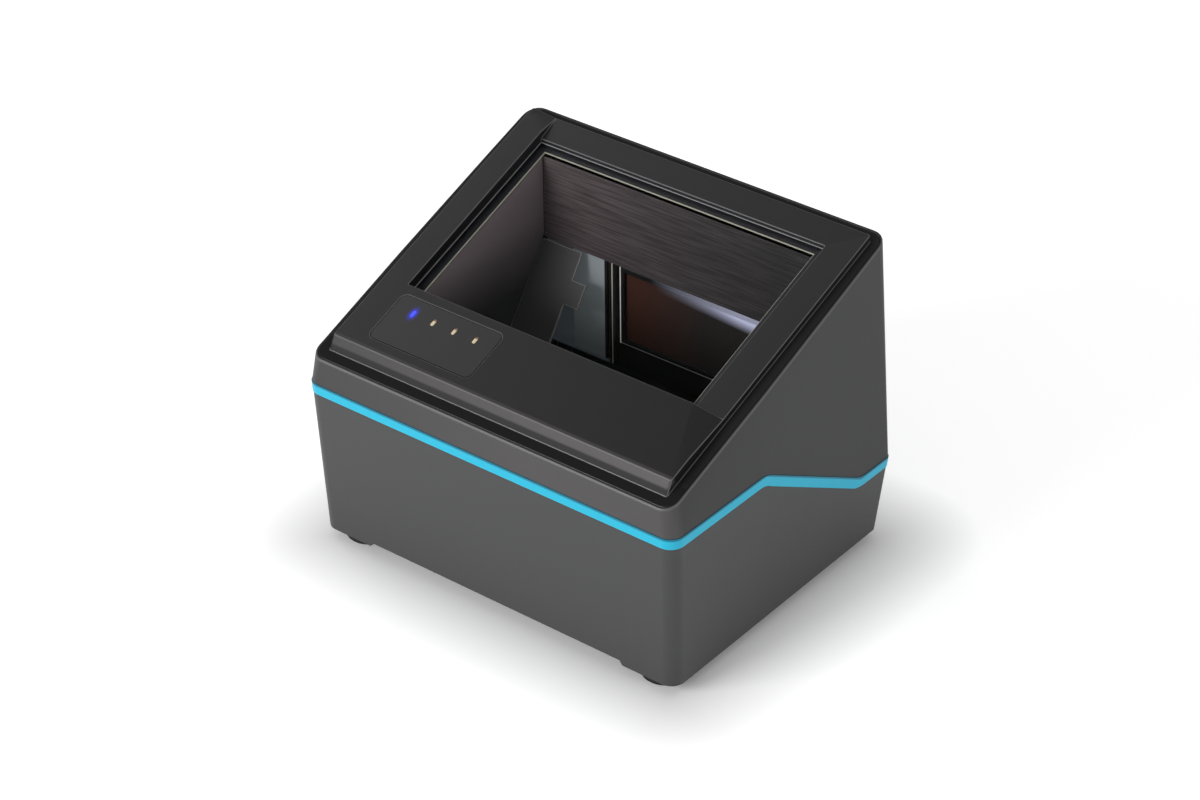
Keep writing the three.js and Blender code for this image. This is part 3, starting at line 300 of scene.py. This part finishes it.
class Finish:
    """A material built from values; its settings are named as the shader's sockets."""

    def __init__(self, name, **settings):
        self.material = bpy.data.materials.new(name)
        self.material.use_nodes = True
        self.nodes = self.material.node_tree.nodes
        self.links = self.material.node_tree.links
        self.shader = self.nodes["Principled BSDF"]
        for socket, value in settings.items():
            self.set(socket.replace("_", " ").title(), value)

    def set(self, socket, value):
        self.feed(self.shader.inputs[socket], value)

    def feed(self, socket, value):
        if isinstance(value, Value):
            self.links.new(value.socket, socket)
        elif socket.type == "RGBA":
            socket.default_value = (*value, 1)
        else:
            socket.default_value = value

    def add(self, kind, inputs, output=0, **settings):
        """A node of the kind given; one of its outputs comes back as a value."""
        node = self.nodes.new(kind)
        for key, value in settings.items():
            setattr(node, key, value)
        for socket, value in inputs.items():
            self.feed(node.inputs[socket], value)
        return Value(self, node.outputs[output])

    def position(self):
        return self.add("ShaderNodeTexCoord", {}, output="Object")

    def axis(self, name):
        """Object coordinate X, Y or Z."""
        return self.add("ShaderNodeSeparateXYZ", {"Vector": self.position()}, output=name) * (1 / MM)

    def up_slope(self):
        """Distance up the sloped top from the front of the case."""
        y = self.axis("Y") - SLOPE_FRONT
        z = self.axis("Z") - SLOPE_HEIGHT
        return y * math.cos(SLOPE) + z * math.sin(SLOPE)

    def over_slope(self):
        """Height square to the sloped border."""
        y = self.axis("Y") - SLOPE_FRONT
        z = self.axis("Z") - SLOPE_HEIGHT
        return z * math.cos(SLOPE) - y * math.sin(SLOPE)

    def under_parting(self):
        """Distance below the parting line."""
        fall = (STRIP_TOP_FRONT - STRIP_TOP_BACK) / (FALL_END - FALL_START)
        line = STRIP_TOP_FRONT - (self.axis("Y") - FALL_START) * fall
        return line.clamped(STRIP_TOP_BACK, STRIP_TOP_FRONT) - self.axis("Z")

    def noise(self, scale, detail, stretch=(1, 1, 1), turn=(0, 0, 0)):
        place = self.add("ShaderNodeMapping", {
            "Vector": self.position(),
            "Rotation": turn,
            "Scale": stretch,
        })
        return self.add("ShaderNodeTexNoise", {"Vector": place, "Scale": scale, "Detail": detail})

    def blend(self, share, first, second):
        """The first colour where the share is 0 and the second where it is 1."""
        inputs = {MIX_SHARE: share, MIX_FIRST: first, MIX_SECOND: second}
        return self.add("ShaderNodeMix", inputs, output=MIX_RESULT, data_type="RGBA")

    def grain(self):
        """Fine moulded relief; its height comes back as a value."""
        height = self.noise(GRAIN_SCALE, GRAIN_DETAIL)
        self.set("Normal", self.add("ShaderNodeBump", {
            "Height": height,
            "Strength": GRAIN_STRENGTH,
            "Distance": GRAIN_DEPTH * MM,
        }, output="Normal"))
        return height

    def glow(self, color):
        self.set("Emission Color", color)
        self.set("Emission Strength", 1)


# Materials

def plain(name, color, roughness, **more):
    return Finish(name, base_color=color, roughness=roughness, **more).material


def housing_plastic():
    """Grained dark grey with painted light and shade on the upper housing: darker sides, and a lighter
    front that is lighter still towards the right; the sloped top is dark, and its outer edge has a painted
    highlight.
    """
    finish = Finish("housing_grain")
    finish.set("Roughness", finish.grain().between(*HOUSING_ROUGHNESS))
    # Painted light on the upper front, lighter towards the right, and painted shade on the upper sides
    front = finish.blend(finish.axis("X").above(*FRONT_ACROSS), FRONT_LIT_LEFT, FRONT_LIT_RIGHT)
    upper = finish.blend(finish.axis("Y").above(*FRONT_TO_SIDE), front, UPPER_SIDE_SHADE)
    over_strip = (finish.under_parting() * -1).above(*OVER_STRIP)
    tone = finish.blend(over_strip, LOWER_GREY, upper)
    height = finish.over_slope()
    # Painted highlight on the outer edge of the sloped top
    rim_highlight = finish.blend(height.above(*RIM_FOOT), tone, RIM_HIGHLIGHT)
    finish.set("Base Color", finish.blend(height.above(*RIM_TOP), rim_highlight, SLOPE_GREY))
    return finish.material


def bezel_plastic():
    """Grained black-grey with a painted highlight on the front face, warmer and lighter towards the right,
    and a painted sheen towards the back; the flat tier round the raised part is black.
    """
    finish = Finish("bezel_grain")
    finish.grain()
    height = finish.over_slope()
    up = finish.up_slope()
    raised = height.above(*TIER_TOP)
    front = (1 - up.above(*FRONT_FACE_END)) * (1 - height.above(*LEDGE_TOP))
    # Painted highlight on the slanted front face above its foot, warmer and lighter towards the right
    front_highlight = front * height.above(*FRONT_FACE_FOOT)
    warm = finish.blend(finish.axis("X").above(*FRONT_FACE_ACROSS), FRONT_FACE_HIGHLIGHT_LEFT, FRONT_FACE_HIGHLIGHT_RIGHT)
    # Painted sheen, lighter towards the back
    painted_sheen = finish.blend(up.above(*BEZEL_UP_SLOPE), BEZEL_GREY, BEZEL_BACK_SHEEN)
    tone = finish.blend(front_highlight, painted_sheen, warm)
    finish.set("Base Color", finish.blend(raised, TIER_BLACK, tone))
    foot = (front - front_highlight) * FRONT_FOOT_ROUGHNESS
    finish.set("Roughness", raised.between(*BEZEL_ROUGHNESS) + foot)
    return finish.material


def painted_edge_highlight():
    """Small rounded edges of the raised part, with a painted highlight; those of the tier stay black."""
    finish = Finish("painted_edge_highlight", roughness=0.35)
    beside = RAISED_HALF_WIDTH - finish.axis("X").apply("ABSOLUTE")
    ahead = finish.axis("Y") - RAISED_FRONT
    behind = RAISED_BACK - finish.axis("Y")
    raised = beside.apply("MINIMUM", ahead).apply("MINIMUM", behind).above(*RAISED_EDGE)
    finish.set("Base Color", finish.blend(raised, TIER_BLACK, EDGE_HIGHLIGHT_GREY))
    return finish.material


def strip_plastic():
    """Light blue, with painted shade along its upper edge: a deeper blue line."""
    finish = Finish("strip_blue", roughness=0.34)
    lit = finish.under_parting().above(*STRIP_SHADE)
    finish.set("Base Color", finish.blend(lit, STRIP_SHADED_BLUE, STRIP_BLUE))
    return finish.material


def window_clear():
    finish = Finish("window_clear", base_color=BLACK, roughness=0.02, alpha=0.06)
    finish.material.surface_render_method = "BLENDED"
    return finish.material


def panel_film():
    """Film over the status lights; the lit one shows a halo in it."""
    finish = Finish("panel_film", base_color=PANEL_BLACK, roughness=0.4)
    across = finish.axis("X") - LIT_ACROSS
    along = (finish.up_slope() - LIT_UP_SLOPE) * HALO_SQUEEZE
    reach = (across * across + along * along).apply("SQRT")
    halo = (1 - reach * (1 / HALO_REACH)).clamped(0, 1)
    finish.glow(finish.blend(halo * halo, BLACK, HALO_BLUE))
    return finish.material


def light_cream():
    """Unlit window, pale over most of its length and brown at its far end."""
    finish = Finish("light_cream", roughness=0.35)
    far = (finish.up_slope() - LIT_UP_SLOPE).above(*CREAM_TO_BROWN)
    finish.set("Base Color", finish.blend(far, CREAM, CREAM_BROWN))
    return finish.material


def brushed_sheet():
    """Fine slanting brush lines, with painted light: warm and lighter at the left end and darker to the
    right.
    """
    finish = Finish("brushed_sheet")
    lines = finish.noise(BRUSH_SCALE, BRUSH_DETAIL, BRUSH_STRETCH, BRUSH_TURN)
    # Painted light: lighter at the left, darker to the right
    right = finish.axis("X").above(*SHEET_ACROSS)
    pale = finish.blend(right, SHEET_PALE_LIT, SHEET_PALE_SHADED)
    dark = finish.blend(right, SHEET_DARK_LIT, SHEET_DARK_SHADED)
    finish.set("Base Color", finish.blend(lines.above(*BRUSH_LINES), dark, pale))
    finish.set("Roughness", lines.between(*SHEET_ROUGHNESS))
    return finish.material


def chamber_plastic():
    """Dark moulding with painted light, lighter and warm high up; black low down and at the rear, but grey
    there by the diffuser, with a painted glow.
    """
    finish = Finish("chamber_grey", roughness=0.5)
    painted_wall_light = finish.blend(finish.axis("Z").above(*CHAMBER_UP), CHAMBER_LOW, CHAMBER_LIT_HIGH)
    rear = finish.axis("Y").above(*CHAMBER_REAR)
    beside = 1 - finish.axis("X").above(*DIFFUSER_RIGHT)
    lit = finish.blend(rear * beside, painted_wall_light, REAR_GREY)
    open_part = finish.axis("Z").above(*CHAMBER_FLOOR) * (1 - rear * (1 - beside))
    finish.set("Base Color", finish.blend(open_part, CHAMBER_BLACK, lit))
    # Painted glow beside the diffuser
    finish.glow(finish.blend(rear * beside, BLACK, REAR_GLOW))
    return finish.material


def diffuser():
    """Frosted panel with a trace of light of its own."""
    finish = Finish("diffuser_grey", roughness=0.6)
    upright = finish.axis("Z").above(*DIFFUSER_UP).between(*DIFFUSER_FADE)
    pale = upright * (1 - finish.axis("X").above(*DIFFUSER_PALE_END))
    finish.set("Base Color", finish.blend(pale, DIFFUSER_BLACK, DIFFUSER_GREY))
    finish.glow(finish.blend(pale, BLACK, DIFFUSER_GLOW))
    return finish.material


def cut_board():
    """Board whose cut front edge is pale and whose faces are black."""
    finish = Finish("board_edge", roughness=0.6)
    behind = finish.axis("Y").above(*BOARD_EDGE_BACK)
    dark = behind.apply("MAXIMUM", finish.axis("X").above(*BOARD_EDGE_RIGHT))
    finish.set("Base Color", finish.blend(dark, BOARD_PALE, BOARD_BLACK))
    return finish.material


def along_pane(finish):
    """Share of the way along the pane, and the painted reflection, a pale band that lies along its top
    edge.
    """
    share = (finish.axis("X") - PANE_LEFT) * (1 / (PANE_RIGHT - PANE_LEFT))
    down = PANE_TOP - finish.axis("Z")
    band = 1 - (down - share.between(*REFLECTION_DEPTH)).above(*REFLECTION_LOWER)
    return share, band * share.above(*REFLECTION_ACROSS)


def frame_plastic():
    """Black frame with a grey line along the foot of the pane, a painted highlight along its left side, and
    the painted reflection of the pane's pale band where it reaches the frame.
    """
    finish = Finish("frame_black", roughness=0.45)
    _, painted_reflection = along_pane(finish)
    height = finish.axis("Z")
    side = finish.axis("X").within(*FRAME_SIDE_LINE) * (1 - height.above(*INSIDE_FRAME))
    grey = finish.blend(height.within(*FRAME_FOOT_LINE), FRAME_BLACK, FRAME_FOOT_GREY)
    bright = finish.blend(side, grey, FRAME_SIDE_HIGHLIGHT)
    finish.set("Base Color", finish.blend(painted_reflection, bright, PANE_REFLECTION))
    finish.glow(finish.blend(side, BLACK, FRAME_SIDE_HIGHLIGHT_GLOW))
    return finish.material


def dark_pane():
    """Dark pane, red-brown at the left from a painted reflection and grey at the right, with a painted
    reflection in a pale band along its top.
    """
    finish = Finish("mirror_dark", roughness=0.25)
    share, painted_reflection = along_pane(finish)
    tone = finish.blend(share.above(*PANE_ACROSS), PANE_REFLECTED_BROWN, PANE_GREY)
    finish.set("Base Color", finish.blend(painted_reflection, tone, PANE_REFLECTION))
    finish.glow(finish.blend(painted_reflection * painted_reflection, BLACK, PANE_REFLECTION_GLOW))
    return finish.material


FINISHES = {
    "housing_plastic": housing_plastic(),
    "bezel_plastic": bezel_plastic(),
    "strip_plastic": strip_plastic(),
    "window_glass": window_clear(),
    "gasket_rubber": plain("gasket_black", (0.01, 0.01, 0.01), 0.8),
    "antenna_board": plain("board_black", (0.028, 0.029, 0.034), 0.4),
    "panel_film": panel_film(),
    "light_blue": plain("light_blue", LAMP_BLUE, 0.3, emission_color=LAMP_BLUE_GLOW, emission_strength=1),
    "light_cream": light_cream(),
    "circuit_board": plain("board_green", (0.02, 0.1, 0.05), 0.4),
    "chamber_plastic": chamber_plastic(),
    "brushed_sheet": brushed_sheet(),
    "diffuser": diffuser(),
    "board_edge": cut_board(),
    "frame_plastic": frame_plastic(),
    "mirror": dark_pane(),
    "lens_metal": plain("lens_black", (0.02, 0.02, 0.02), 0.4, metallic=0.6),
    "lens_glass": plain("lens_glass", (0.05, 0.05, 0.09), 0.05),
    "connector_plastic": plain("connector_cream", (0.6, 0.55, 0.42), 0.5),
    "ribbon": plain("ribbon_grey", (0.5, 0.5, 0.48), 0.5),
    "chip_black": plain("chip_black", (0.015, 0.015, 0.015), 0.45),
    "socket_metal": plain("socket_metal", (0.55, 0.56, 0.57), 0.3, metallic=1),
    "foot_rubber": plain("foot_black", (0.012, 0.012, 0.012), 0.75),
    "screw_steel": plain("screw_steel", (0.5, 0.5, 0.51), 0.35, metallic=1),
}
CUT_FIBRE = plain("cut_fibre", (0.75, 0.74, 0.6), 0.6)
# Painted highlight for the glass's top edge
GLASS_EDGE_HIGHLIGHT = plain("glass_edge_pale", (0.45, 0.45, 0.46), 0.4)
# Painted highlight for the bezel's rounded edges
BEZEL_EDGE_HIGHLIGHT = painted_edge_highlight()
SHIELD_FACE = plain("shield_face", (0.085, 0.085, 0.085), 0.5)
SHIELD_EDGE = plain("shield_edge", (0.5, 0.49, 0.48), 0.5)


# Pieces

def deselect():
    bpy.ops.object.select_all(action="DESELECT")


def take(piece):
    deselect()
    piece.select_set(True)
    bpy.context.view_layer.objects.active = piece


def dress(piece, finish):
    piece.data.materials.clear()
    piece.data.materials.append(finish)


def join(piece):
    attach(piece, ROOT)


def over_slope(place):
    """Height of a point square to the sloped border."""
    y = place.y / MM - SLOPE_FRONT
    z = place.z / MM - SLOPE_HEIGHT
    return z * math.cos(SLOPE) - y * math.sin(SLOPE)


def weigh_edges(piece, lowest):
    """Mark for rounding the sharp edges that lie above a height square to the slope."""
    bpy.ops.object.mode_set(mode="EDIT")
    bpy.ops.mesh.select_mode(type="EDGE")
    bpy.ops.mesh.select_all(action="DESELECT")
    bpy.ops.mesh.edges_select_sharp(sharpness=SHARP_ANGLE)
    bpy.ops.object.mode_set(mode="OBJECT")
    mesh = piece.data
    weights = mesh.attributes.new("bevel_weight_edge", "FLOAT", "EDGE").data
    for edge in mesh.edges:
        first, second = (mesh.vertices[i].co for i in edge.vertices)
        high = over_slope((first + second) / 2) > lowest
        weights[edge.index].value = 1 if edge.select and high else 0


def finished_copy(node, name, rounding, edge_finish=None, lowest=-math.inf, clamp=True):
    """A copy of a moulding with merged corners, flat faces made whole and small rounded edges."""
    source = frame["nodes"][node]
    piece = source.copy()
    piece.data = source.data.copy()
    for key in list(piece.keys()):
        del piece[key]
    piece.name = name
    bpy.context.scene.collection.objects.link(piece)
    take(piece)
    bpy.ops.object.parent_clear(type="CLEAR_KEEP_TRANSFORM")
    bpy.ops.object.mode_set(mode="EDIT")
    bpy.ops.mesh.select_all(action="SELECT")
    bpy.ops.mesh.remove_doubles(threshold=MERGE_DISTANCE * MM)
    bpy.ops.mesh.dissolve_limited(angle_limit=FLAT_ANGLE)
    bpy.ops.object.mode_set(mode="OBJECT")
    weigh_edges(piece, lowest)
    bevel = piece.modifiers.new("edge", "BEVEL")
    bevel.width = rounding * MM
    bevel.segments = EDGE_SEGMENTS
    bevel.limit_method = "WEIGHT"
    bevel.miter_outer = "MITER_ARC"
    bevel.use_clamp_overlap = clamp
    dress(piece, FINISHES[slot_of[node]])
    if edge_finish:
        piece.data.materials.append(edge_finish)
        bevel.material = 1
    bpy.ops.object.modifier_apply(modifier=bevel.name)
    bpy.ops.object.shade_smooth_by_angle(angle=SHARP_ANGLE)
    even = piece.modifiers.new("even", "WEIGHTED_NORMAL")
    even.keep_sharp = True
    bpy.ops.object.modifier_apply(modifier=even.name)
    join(piece)
    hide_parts(node)
    return piece


def shield_plate(side):
    """A light shield whose narrow faces are pale."""
    plate = finished_copy("light_shield_" + side, "shield_" + side + "_plate", PLATE_ROUNDING,
                          edge_finish=SHIELD_EDGE, clamp=False)
    plate.data.materials[0] = SHIELD_FACE
    broad = max(plate.data.polygons, key=lambda face: face.area).normal.copy()
    for face in plate.data.polygons:
        if abs(face.normal.dot(broad)) < NARROW_FACE:
            face.material_index = 1


def slope_ring(name, finish, bounds, heights, width):
    """A thin rectangular ring in the sloped top, inside the bounds given."""
    left, right, front, back = bounds
    foot, top = heights
    middle = Vector(((left + right) / 2, (front + back) / 2, (foot + top) / 2))
    deselect()
    bpy.ops.mesh.primitive_cube_add(size=1)
    piece = bpy.context.object
    piece.name = name
    piece.scale = Vector((right - left, back - front, top - foot)) * MM
    bpy.ops.object.transform_apply(location=False, rotation=False, scale=True)
    bpy.ops.object.mode_set(mode="EDIT")
    bpy.ops.mesh.select_mode(type="FACE")
    bpy.ops.mesh.select_all(action="DESELECT")
    bpy.ops.object.mode_set(mode="OBJECT")
    for face in piece.data.polygons:
        face.select = abs(face.normal.z) > LEVEL_FACE
    bpy.ops.object.mode_set(mode="EDIT")
    bpy.ops.mesh.inset(thickness=width * MM)
    bpy.ops.mesh.bridge_edge_loops()
    bpy.ops.mesh.select_all(action="SELECT")
    bpy.ops.mesh.normals_make_consistent(inside=False)
    bpy.ops.object.mode_set(mode="OBJECT")
    turn = Euler((SLOPE, 0, 0)).to_matrix()
    piece.location = (turn @ middle + Vector((0, SLOPE_FRONT, SLOPE_HEIGHT))) * MM
    piece.rotation_euler = (SLOPE, 0, 0)
    bpy.ops.object.transform_apply(location=True, rotation=True, scale=True)
    dress(piece, finish)
    join(piece)


slot_of = {part["node"]: part["material_slot"] for part in frame["record"]["subparts"]}

for node, piece in frame["nodes"].items():
    dress(piece, FINISHES[slot_of[node]])

finished_copy("upper_housing", "upper_moulding", CASE_ROUNDING)
finished_copy("lower_housing", "lower_moulding", CASE_ROUNDING)
finished_copy("top_bezel", "bezel_moulding", CASE_ROUNDING,
              edge_finish=BEZEL_EDGE_HIGHLIGHT, lowest=TIER_FOOT, clamp=False)
finished_copy("accent_strip", "strip_moulding", STRIP_ROUNDING)
shield_plate("left")
shield_plate("right")
finished_copy("pane_frame", "pane_frame_moulding", PLATE_ROUNDING)

slope_ring("aperture_cut_edge", CUT_FIBRE, APERTURE, CUT_HEIGHTS, CUT_WIDTH)
# A painted highlight round the glass's top edge
slope_ring("glass_edge_line", GLASS_EDGE_HIGHLIGHT, WINDOW, GLASS_EDGE_HEIGHTS, GLASS_EDGE_WIDTH)


# Camera and studio

def camera():
    azimuth = math.radians(CAMERA_AZIMUTH)
    elevation = math.radians(CAMERA_ELEVATION)
    roll = math.radians(CAMERA_ROLL)
    back = Vector((
        math.sin(azimuth) * math.cos(elevation),
        -math.cos(azimuth) * math.cos(elevation),
        math.sin(elevation),
    ))
    right = (-back).cross(Vector((0, 0, 1))).normalized()
    up = back.cross(right)
    across = right * math.cos(roll) + up * math.sin(roll)
    upward = up * math.cos(roll) - right * math.sin(roll)
    place = (Vector(CAMERA_TARGET) + back * CAMERA_DISTANCE) * MM
    bpy.ops.object.camera_add()
    viewer = bpy.context.object
    turn = Matrix((across, upward, back)).transposed()
    viewer.matrix_world = Matrix.Translation(place) @ turn.to_4x4()
    viewer.data.lens = CAMERA_LENS
    viewer.data.sensor_width = SENSOR_WIDTH
    viewer.data.clip_start = CLIP_START
    viewer.data.clip_end = CLIP_END
    bpy.context.scene.camera = viewer


def backdrop():
    scene = bpy.context.scene
    scene.view_settings.view_transform = "Standard"
    world = bpy.data.worlds.new("studio")
    world.use_nodes = True
    scene.world = world
    background = world.node_tree.nodes["Background"]
    background.inputs["Color"].default_value = (*WHITE, 1)
    background.inputs["Strength"].default_value = BACKDROP_STRENGTH


def white_floor():
    """Pale floor that glows to the camera, and more weakly in mirrored light; the glow is less near the
    case, a painted shadow round it.
    """
    bpy.ops.mesh.primitive_plane_add(size=FLOOR_SIZE, location=(0, 0, 0))
    floor = bpy.context.object
    floor.name = "floor"
    paper = Finish("floor_white", base_color=(0.96, 0.96, 0.96), roughness=0.9, emission_color=WHITE)
    seen, mirrored, through = (
        paper.add("ShaderNodeLightPath", {}, output="Is " + ray + " Ray")
        for ray in ("Camera", "Glossy", "Transmission")
    )
    # Painted shadow: the floor glows less near the case
    beside = (paper.axis("X").apply("ABSOLUTE") - CASE_HALF_WIDTH).clamped(0, FLOOR_SHADE_WIDTH)
    ahead = (paper.axis("Y").apply("ABSOLUTE") - CASE_HALF_DEPTH).clamped(0, FLOOR_SHADE_WIDTH)
    away = (beside * beside + ahead * ahead).apply("SQRT") * (1 / FLOOR_SHADE_WIDTH)
    rays = (seen + mirrored * FLOOR_MIRRORED + through).clamped(0, 1)
    paper.set("Emission Strength", rays * away.clamped(0, 1).between(*FLOOR_GLOW))
    dress(floor, paper.material)


def softbox(name, place, target, width, height, power):
    bpy.ops.object.light_add(type="AREA", location=place)
    lamp = bpy.context.object
    lamp.name = name
    lamp.data.shape = "RECTANGLE"
    lamp.data.size = width
    lamp.data.size_y = height
    lamp.data.energy = power
    lamp.visible_camera = False
    lamp.rotation_euler = (Vector(target) - Vector(place)).to_track_quat("-Z", "Y").to_euler()


camera()
backdrop()
white_floor()
softbox("front_box", place=(-0.55, -1.45, 0.75), target=(0, 0, 0.08), width=0.9, height=0.5, power=15)
softbox("right_box", place=(1.75, 0.25, 0.3), target=(0, 0, 0.08), width=1.0, height=0.5, power=5.7)
softbox("top_box", place=(-0.9, 0.1, 0.9), target=(0, 0, 0.1), width=0.4, height=0.4, power=0.9)
